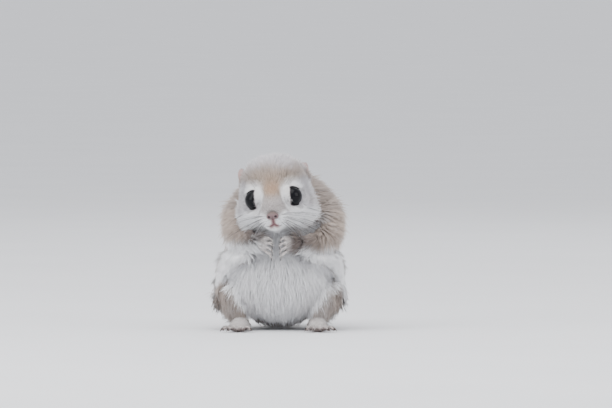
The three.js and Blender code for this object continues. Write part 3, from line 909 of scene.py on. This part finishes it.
TUFT_LIMIT = 19900  # for each piece of the coat
TUFT_PATCH = 0.003
TUFT_CORNERS = 7
ROOT_DEPTH = 0.12
ROOT_GIRTH = 0.7
LENGTH_RANGE = (0.72, 1.18)
WIDTH_RANGE = (0.8, 1.2)
LIFT_RANGE = (0.75, 1.25)
SWING_IN_WAVES = 0.20
SWING_BY_CHANCE = 0.13
DROOP = 0.35
CLUMP_OF = 11
CLUMP_PULL = 0.42
LOWEST_TIP = 0.1
GUARD_HAIR_SHARE = 0.08
GUARD_HAIR_LENGTH = 1.3
GUARD_HAIR_LIFT = 1.2
TONE_BY_CHANCE = 0.07
FROST = linear("#f1eff1")
# Corners of a tuft: three round its root, three round its middle and its tip.
TUFT_FACES = np.array([
    (0, 1, 2), (0, 4, 1), (0, 3, 4), (1, 5, 2), (1, 4, 5),
    (2, 3, 0), (2, 5, 3), (3, 6, 4), (4, 6, 5), (5, 6, 3),
])
PATCH_CORNERS = TUFT_PATCH * np.array([
    (-0.5, -0.5), (0.5, -0.5), (0, -0.5), (-0.5, 0), (0.5, 0), (0, 0), (0, 0.5),
])

# A tuft is darker towards its root, partly as grey underfur and partly as painted shade deep in the coat,
# the less so the whiter it is, and some tips are frosted.
# Its attribute tuft holds how far along it a point is, a number by chance and its whiteness.
coat_finish, coat_shader, wire = new_finish("winter_coat", 0.75, 0.18)
coat_shader.inputs["Sheen Weight"].default_value = 0.25
coat_shader.inputs["Sheen Roughness"].default_value = 0.5
tuft_facts = wire.node("ShaderNodeAttribute", {"attribute_name": "tuft"}, {}, 1)
along, chance, whiteness = [
    wire.node("ShaderNodeSeparateXYZ", {}, {"Vector": tuft_facts}, k) for k in range(3)
]
# Grey underfur and painted shade deep in the coat: how much of the marking's brightness a point keeps, by
# how far along the tuft it is.
underfur_and_depth_shade = along.over(0.0, 0.75) * (0.5 - 0.35 * whiteness) + (0.5 + 0.35 * whiteness)
grey = wire.node("ShaderNodeCombineColor", {}, dict.fromkeys(("Red", "Green", "Blue"), underfur_and_depth_shade))
shaded = darkened(painted(wire), 1.0, grey)
frost = along.over(0.62, 1.0) * chance.over(0.35, 1.0) * grain(wire, 160.0, 3.0).over(0.3, 0.7)
feed(coat_shader, "Base Color", (frost * 0.5).tint(shaded, FROST))


def leaning(way, towards, angle):
    return way * np.cos(angle)[:, None] + towards * np.sin(angle)[:, None]


def grow_coat(name, region, seed):
    """Joined tufts on the faces of a region of the skin."""
    draw = np.random.default_rng(seed)
    patch = faces[region]
    corners = points[patch]
    a, b, c = corners[:, 0], corners[:, 1], corners[:, 2]
    area = np.linalg.norm(np.cross(b - a, c - a), axis=1) / 2
    weight = np.cumsum(area * density[patch].mean(axis=1))
    count = min(TUFT_LIMIT, int(weight[-1]))
    steps = (np.arange(count) + draw.uniform(size=count)) / count
    chosen = np.searchsorted(weight, steps * weight[-1])
    chosen = patch[np.minimum(chosen, len(patch) - 1)]
    first = np.sqrt(draw.uniform(size=count))
    second = draw.uniform(size=count)
    share = np.stack([1 - first, first * (1 - second), first * second], 1)

    def at(values):
        """What the corners of the skin's faces hold, at the roots."""
        shares = share if values.ndim == 1 else share[..., None]
        return (values[chosen] * shares).sum(axis=1)

    root = at(points)
    up = unit(at(soft_facing))
    way = at(lie)
    way = unit(way - (way * up).sum(axis=1)[:, None] * up)
    swing = SWING_IN_WAVES * ripple(root, 7, seed + 1) + SWING_BY_CHANCE * draw.normal(size=count)
    way = leaning(way, np.cross(up, way), swing)
    side = np.cross(up, way)
    long = at(length) * draw.uniform(*LENGTH_RANGE, count)
    wide = at(half_width) * draw.uniform(*WIDTH_RANGE, count)
    guard = draw.uniform(size=count) < GUARD_HAIR_SHARE
    half = (long * np.where(guard, GUARD_HAIR_LENGTH, 1) * 0.5)[:, None]
    lean = np.radians(at(lift) * draw.uniform(*LIFT_RANGE, count) * np.where(guard, GUARD_HAIR_LIFT, 1))
    start = root - up * ROOT_DEPTH
    middle = start + half * leaning(way, up, lean)
    tip = middle + half * leaning(way, up, lean * DROOP)

    # Tufts are drawn together in clumps, towards the nearest of a few leaders.
    leaders = draw.choice(count, max(count // CLUMP_OF, 1), replace=False)
    nearest = KDTree(len(leaders))
    for number, leader in enumerate(leaders):
        nearest.insert(root[leader], int(leader))
    nearest.balance()
    leader = np.array([nearest.find(place)[1] for place in root])
    pull = (CLUMP_PULL * draw.uniform(0.4, 1.0, count))[:, None]
    tip += (tip[leader] - tip) * pull
    middle += (middle[leader] - middle) * pull * 0.35
    tip[:, 2] = np.maximum(tip[:, 2], LOWEST_TIP)
    middle[:, 2] = np.maximum(middle[:, 2], LOWEST_TIP)

    # The shading normals lean with the skin's, so that the coat looks soft.
    outward = unit(np.stack([side, -side, up], 1) + 0.35 * np.stack([-up, -up, up], 1))
    girth = wide[:, None, None]
    ring_root = start[:, None] + outward * girth * ROOT_GIRTH
    ring_middle = middle[:, None] + outward * girth
    spikes = np.concatenate([ring_root, ring_middle, tip[:, None]], 1)
    sheen = unit(outward * 0.45 + up[:, None])
    tip_sheen = unit(up + 0.35 * way)
    shown_normals = np.concatenate([sheen, sheen, tip_sheen[:, None]], 1)

    mesh = bpy.data.meshes.new(name)
    mesh.vertices.add(count * TUFT_CORNERS)
    mesh.vertices.foreach_set("co", (spikes.reshape(-1, 3) * MM).astype(np.float32).ravel())
    triangles = (np.arange(count)[:, None, None] * TUFT_CORNERS + TUFT_FACES[None]).reshape(-1, 3)
    mesh.loops.add(triangles.size)
    mesh.loops.foreach_set("vertex_index", triangles.ravel().astype(np.int32))
    mesh.polygons.add(len(triangles))
    mesh.polygons.foreach_set("loop_start", np.arange(0, triangles.size, 3, dtype=np.int32))
    mesh.polygons.foreach_set("loop_total", np.full(len(triangles), 3, np.int32))
    mesh.update(calc_edges=True)
    mesh.polygons.foreach_set("use_smooth", np.ones(len(triangles), bool))

    patch_uv = flat_place(root, *unwrap(region))[:, None] + PATCH_CORNERS[None]
    uv_map = mesh.uv_layers.new(name="OFBake")
    uv_map.data.foreach_set("uv", patch_uv.reshape(-1, 2)[triangles.ravel()].astype(np.float32).ravel())

    tone = at(marking) * (1 + TONE_BY_CHANCE * draw.normal(size=(count, 1)))
    paint(mesh, np.repeat(np.clip(tone, 0, 1), TUFT_CORNERS, axis=0))
    white = rise(tone.min(axis=1), 0.45, 0.75)
    facts = np.stack([
        np.tile([0, 0, 0, 0.5, 0.5, 0.5, 1], count),
        np.repeat(draw.uniform(size=count), TUFT_CORNERS),
        np.repeat(white, TUFT_CORNERS),
    ], 1)
    tuft_attribute = mesh.attributes.new("tuft", "FLOAT_VECTOR", "POINT")
    tuft_attribute.data.foreach_set("vector", facts.astype(np.float32).ravel())
    mesh.normals_split_custom_set_from_vertices(shown_normals.reshape(-1, 3).tolist())
    mesh.materials.append(coat_finish)
    piece = new_piece(name, mesh)
    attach(piece, "root")


face_parts = parts[faces[:, 0]]
face_middle = points[faces].mean(axis=1)
is_head = (face_parts == "head") | (face_parts == "ear")
is_face = in_head(face_middle)[:, 1] < -9
is_torso = face_parts == "torso"
is_belly = (face_middle - body_origin)[:, 1] < 2
grow_coat("coat_face", is_head & is_face, 11)
grow_coat("coat_crown", is_head & ~is_face, 12)
grow_coat("coat_belly", is_torso & is_belly, 13)
grow_coat("coat_back", is_torso & ~is_belly, 14)
grow_coat("coat_arms", np.isin(face_parts, ["arm", "hand"]), 15)
grow_coat("coat_legs", np.isin(face_parts, ["leg", "foot"]), 16)
grow_coat("coat_membranes", face_parts == "membrane", 18)
grow_coat("coat_tail", face_parts == "tail", 17)


# Eyes: large, nearly black and wet balls that look well out to the sides. Each lies under
# a thin dark lid rim, whose opening is flat towards the nose and drawn up at its top.
EYE_BLACK = linear("#050508")
EYE_SMOKE = linear("#0d0d12")
LID_RIM = linear("#171416")
LID_SKIN = linear("#b5abad")
LID_COLUMNS = 96
# From the inside of the rim outwards: degrees past the opening, height over the
# eyeball and how dark the lid is there.
LID_PROFILE = [
    (0.8, 0.02, 1), (-0.8, 0.16, 1), (0.4, 0.34, 1), (3.4, 0.42, 0.9),
    (7, 0.4, 0.2), (14, 0.1, 0), (22, -0.5, 0), (18, -0.9, 0), (6, -0.35, 1),
]


def place_on_body(name, corners, faces, finish, slot):
    """A finished piece from corners and faces, riding on the one body."""
    mesh = bpy.data.meshes.new(name)
    mesh.from_pydata((np.asarray(corners) * MM).tolist(), [], faces)
    mesh.materials.append(finish)
    piece = new_piece(name, mesh)
    select_only(piece)
    bpy.ops.object.mode_set(mode="EDIT")
    bpy.ops.mesh.select_all(action="SELECT")
    bpy.ops.mesh.normals_make_consistent(inside=False)
    bpy.ops.object.mode_set(mode="OBJECT")
    bpy.ops.object.shade_smooth()
    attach(piece, "root")
    return piece


def add_eye(name):
    bpy.ops.object.select_all(action="DESELECT")
    bpy.ops.mesh.primitive_uv_sphere_add(
        segments=64, ring_count=40, radius=EYE_RADIUS * MM, location=centre_of("eye_" + name) * MM)
    eye = bpy.context.object
    eye.name = "eyeball_" + name
    bpy.ops.object.transform_apply(location=True, rotation=True, scale=True)
    bpy.ops.object.shade_smooth()
    eye.data.materials.append(eye_finish)
    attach(eye, "root")
    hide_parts("eye_" + name)


def add_lids(name, side):
    gaze, to_nose, up = (head_turn @ way for way in gaze_of(side))
    around = np.linspace(0, 2 * math.pi, LID_COLUMNS, endpoint=False)
    opening = lid_opening(np.degrees((around + math.pi) % (2 * math.pi) - math.pi))
    rings = []
    for past, height, _ in LID_PROFILE:
        angle = np.radians(opening + past)[:, None]
        across = np.cos(around)[:, None] * to_nose + np.sin(around)[:, None] * up
        rings.append((EYE_RADIUS + height) * (np.cos(angle) * gaze + np.sin(angle) * across))
    corners = np.stack(rings, 1).reshape(-1, 3) + centre_of("eye_" + name)
    rows = len(LID_PROFILE)
    faces = [
        (k * rows + j, k * rows + (j + 1) % rows,
         (k + 1) % LID_COLUMNS * rows + (j + 1) % rows, (k + 1) % LID_COLUMNS * rows + j)
        for k in range(LID_COLUMNS) for j in range(rows)
    ]
    lids = place_on_body("lids_" + name, corners, faces, lid_finish, "nose_skin")
    dark = np.tile([row[2] for row in LID_PROFILE], LID_COLUMNS)
    paint(lids.data, mixed(LID_SKIN, LID_RIM, dark))


eye_finish, eye_shader, wire = new_finish("wet_black_eye", 0.08, 0.14)
feed(eye_shader, "Base Color", grain(wire, 300.0, 2.0).tint(EYE_BLACK, EYE_SMOKE))
lid_finish, lid_shader, wire = new_finish("lid_skin", 0.45, 0.3)
feed(lid_shader, "Base Color", painted(wire))
rough_up(lid_shader, grain(wire, 2500.0, 3.0), 0.3, 0.0001)
for name, side in SIDES:
    add_eye(name)
    add_lids(name, side)


# Nose: a small bare pad of pebbled, grey-pink skin, with a nostril at each lower side painted as a
# dark comma of shade, and a shallow groove down its middle, darkened with painted shade.
NOSE_VOXEL = 0.13
NOSE_PLACE = np.array([0, -28.2, -9.6])
NOSE_FULLNESS = 1.16
NOSTRIL_PLACE = np.array([1.798, -0.9, -0.55])
NOSTRIL_SIZE = np.array([0.95, 1.4, 0.75])
NOSE_PINK = linear("#755f60")
NOSE_TOP = linear("#63534f")
# Painted shade in the nose's hollows: the nostril openings, the middle groove and the side slits.
NOSE_HOLLOW_SHADE = linear("#2c2326")

nose = new_piece("nose_pad", bpy.data.meshes.new("nose_pad"))
pad = welded(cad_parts["nose"].data)
pad.to_mesh(nose.data)
pad.free()
apply_modifier(nose, "REMESH", mode="VOXEL", voxel_size=NOSE_VOXEL * MM)
nose_points, nose_faces = arrays_of(nose.data)
nose_points = spread(nose_points, edges_of(nose_faces), 8, 0.4)
local = (in_head(nose_points) - NOSE_PLACE) * NOSE_FULLNESS
across = np.abs(local[:, 0])
groove = hump(local[:, 0], 0, 0.22) * rise(-local[:, 2], -0.6, 0.6)
local[:, 1] += 0.3 * groove
side_slit = hump(across, 2.1, 0.5) * hump(local[:, 2], -0.1, 0.28)
local += unit(local) * (-0.35 * side_slit)[:, None]
beside_nostril = np.stack([across, local[:, 1], local[:, 2]], 1) - NOSTRIL_PLACE
nostril = np.linalg.norm(beside_nostril / NOSTRIL_SIZE, axis=1)
move_points(nose.data, from_head(local + NOSE_PLACE))
nose_tone = mixed(NOSE_PINK, NOSE_TOP, rise(local[:, 2], 0.2, 1.4))
# Painted shade: the nostrils darkened as openings, and the groove and side slits darkened as creases.
nose_tone = mixed(nose_tone, NOSE_HOLLOW_SHADE, rise(nostril, 1.05, 0.6))
nose_tone = mixed(nose_tone, NOSE_HOLLOW_SHADE, 0.6 * groove)
nose_tone = mixed(nose_tone, NOSE_HOLLOW_SHADE, 0.7 * side_slit)
paint(nose.data, nose_tone)
nose_finish, nose_shader, wire = new_finish("pebbled_nose", 0.42, 0.35)
feed(nose_shader, "Base Color", painted(wire))
rough_up(nose_shader, 1 - pebbles(wire, 3200.0), 0.5, 0.00012)
nose.data.materials.append(nose_finish)
select_only(nose)
bpy.ops.object.shade_smooth()
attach(nose, "root")
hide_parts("nose")


# Claws: smooth dark horn, curved and sharp, one at the end of each finger and toe.
# They start in the digits, which are laid out here as the solids of hands and feet are.
FINGER_SPREAD = 6.4
TOE_SPREAD = 7.4
CLAW_LENGTH = 2.4
CLAW_ROOT = 1.0
CLAW_ARCH = 0.75
CLAW_RADIUS = 0.66
CLAW_STEPS = 7
CLAW_SIDES = 10
CLAW_DARK = linear("#2e2725")
CLAW_LIGHT = linear("#4d423d")


def finger_tips(side):
    knuckles = np.array([HAND_CENTRE + side * 5, -40.4, WRIST_HEIGHT - 1.2])
    for fan in np.linspace(-0.5, 0.5, 4):
        long = 1 - 0.25 * abs(fan + 0.1)
        base = knuckles + np.array([side * 1.8, 0.3, -fan * FINGER_SPREAD])
        middle = base + np.array([-side * 3.6 * long, -1.3, -0.7 - fan * 1.6])
        tip = middle + np.array([-side * 1.1 * long, 0.2, -1.7 - fan * 0.7])
        yield tip, unit(np.array([-side * 0.25, 0.35, -0.9]))


def toe_tips(side):
    ball = np.array([side * 21.5, -33, 2.6])
    for fan in np.linspace(-0.5, 0.5, 5):
        long = 1 - 0.5 * fan * fan
        way = unit(np.array([fan * 0.95 + side * 0.12, -1, 0]))
        base = ball + np.array([fan * TOE_SPREAD - side * 0.5, 3.2 + abs(fan) * 2.4, -0.5])
        middle = base + way * 6 * long + np.array([0, 0, 0.9])
        tip = middle + way * 3.9 * long + np.array([0, 0, -1.5])
        yield tip, unit(way + np.array([0, 0, -0.25]))


def joined(bodies):
    """Corners and faces of several closed bodies as one."""
    corners, faces = [], []
    for body_corners, body_faces in bodies:
        start = sum(len(c) for c in corners)
        faces += [tuple(start + k for k in face) for face in body_faces]
        corners.append(body_corners)
    return np.concatenate(corners), faces


def add_claws(name, tips):
    claws = []
    for tip, way in tips:
        share = np.linspace(0, 1, CLAW_STEPS)
        lengths = -CLAW_ROOT + (CLAW_LENGTH + CLAW_ROOT) * share
        course = tip + body_origin + way * lengths[:, None]
        course[:, 2] += CLAW_ARCH * np.sin(math.pi * share ** 0.8)
        ways = unit(np.gradient(course, axis=0))
        girth = CLAW_RADIUS * (1 - share) ** 0.7 + 0.05
        rings = tube_along(course, ways, np.array([0.9, 0.1, 0.35]), girth * 0.8, girth * 1.1, CLAW_SIDES)
        rings[..., 2] = np.maximum(rings[..., 2], 0.02)
        claws.append(closed_tube(rings))
    place_on_body(name, *joined(claws), claw_finish, "claw")


claw_finish, claw_shader, wire = new_finish("claw_horn", 0.35, 0.4)
streaks = grain(wire, 1800.0, 3.0)
feed(claw_shader, "Base Color", streaks.tint(CLAW_LIGHT, CLAW_DARK))
rough_up(claw_shader, streaks, 0.2, 0.0001)
for name, side in SIDES:
    add_claws("claws_hand_" + name, finger_tips(side))
    add_claws("claws_foot_" + name, toe_tips(side))


# Whiskers: long, stiff dark hairs that taper to nothing, in rows on the pads beside the
# nose, with a few shorter ones over each eye and on the cheek.
WHISKER_ROWS = [
    # across, height, how many, longest, and the way out, back and down
    (4.6, -9.4, 5, 21, 0.85, 0.35, 0.05),
    (5.0, -10.8, 6, 25, 0.85, 0.35, 0.28),
    (4.8, -12.2, 5, 23, 0.8, 0.35, 0.5),
    (4.2, -13.4, 4, 15, 0.7, 0.3, 0.75),
    (7.0, 5.2, 3, 13, 0.55, 0.25, -0.85),
    (15.5, -7.5, 2, 14, 0.75, 0.6, 0.3),
]
WHISKER_RADIUS = 0.085
WHISKER_STEPS = 9
WHISKER_SIDES = 5
WHISKER_SPACING = 0.9
WHISKER_BEND = np.array([0, 0.5, -0.35])
WHISKER_DARK = linear("#2a2627")
WHISKER_LIGHT = linear("#4b4546")


def whisker_from(root, way, long):
    """A hair from a point of the skin, in the frame, that droops towards its tip."""
    share = np.linspace(0, 1, WHISKER_STEPS)[:, None]
    bend = head_turn @ WHISKER_BEND
    course = root + way * (long * share - 0.5) + bend * long * 0.35 * share ** 2
    girth = WHISKER_RADIUS * (1 - share[:, 0]) ** 0.8 + 0.012
    ways = unit(np.gradient(course, axis=0))
    return closed_tube(tube_along(course, ways, np.array([0, 0.2, 1.0]), girth, girth, WHISKER_SIDES))


def add_whiskers(name, seed):
    draw = np.random.default_rng(seed)
    skin_tree = BVHTree.FromPolygons(points.tolist(), faces.tolist())
    backwards = head_turn @ np.array([0, 1.0, 0])
    hairs = []
    for across, height, count, longest, out, back, down in WHISKER_ROWS:
        for _, side in SIDES:
            for k in range(count):
                spot = [side * (across + WHISKER_SPACING * k), -60, height + 0.25 * draw.normal()]
                hit = skin_tree.ray_cast(from_head(spot), backwards)[0]
                if hit is None:
                    continue
                way = head_turn @ np.array([side * out, back + 0.12 * k - 0.25, -down])
                way = unit(way + 0.05 * draw.normal(size=3))
                hairs.append(whisker_from(np.array(hit[:]), way, longest * draw.uniform(0.75, 1.05)))
    place_on_body(name, *joined(hairs), whisker_finish, "head_fur")


whisker_finish, whisker_shader, wire = new_finish("whisker_hair", 0.4, 0.3)
feed(whisker_shader, "Base Color", grain(wire, 120.0, 1.0).tint(WHISKER_DARK, WHISKER_LIGHT))
add_whiskers("whiskers", 31)
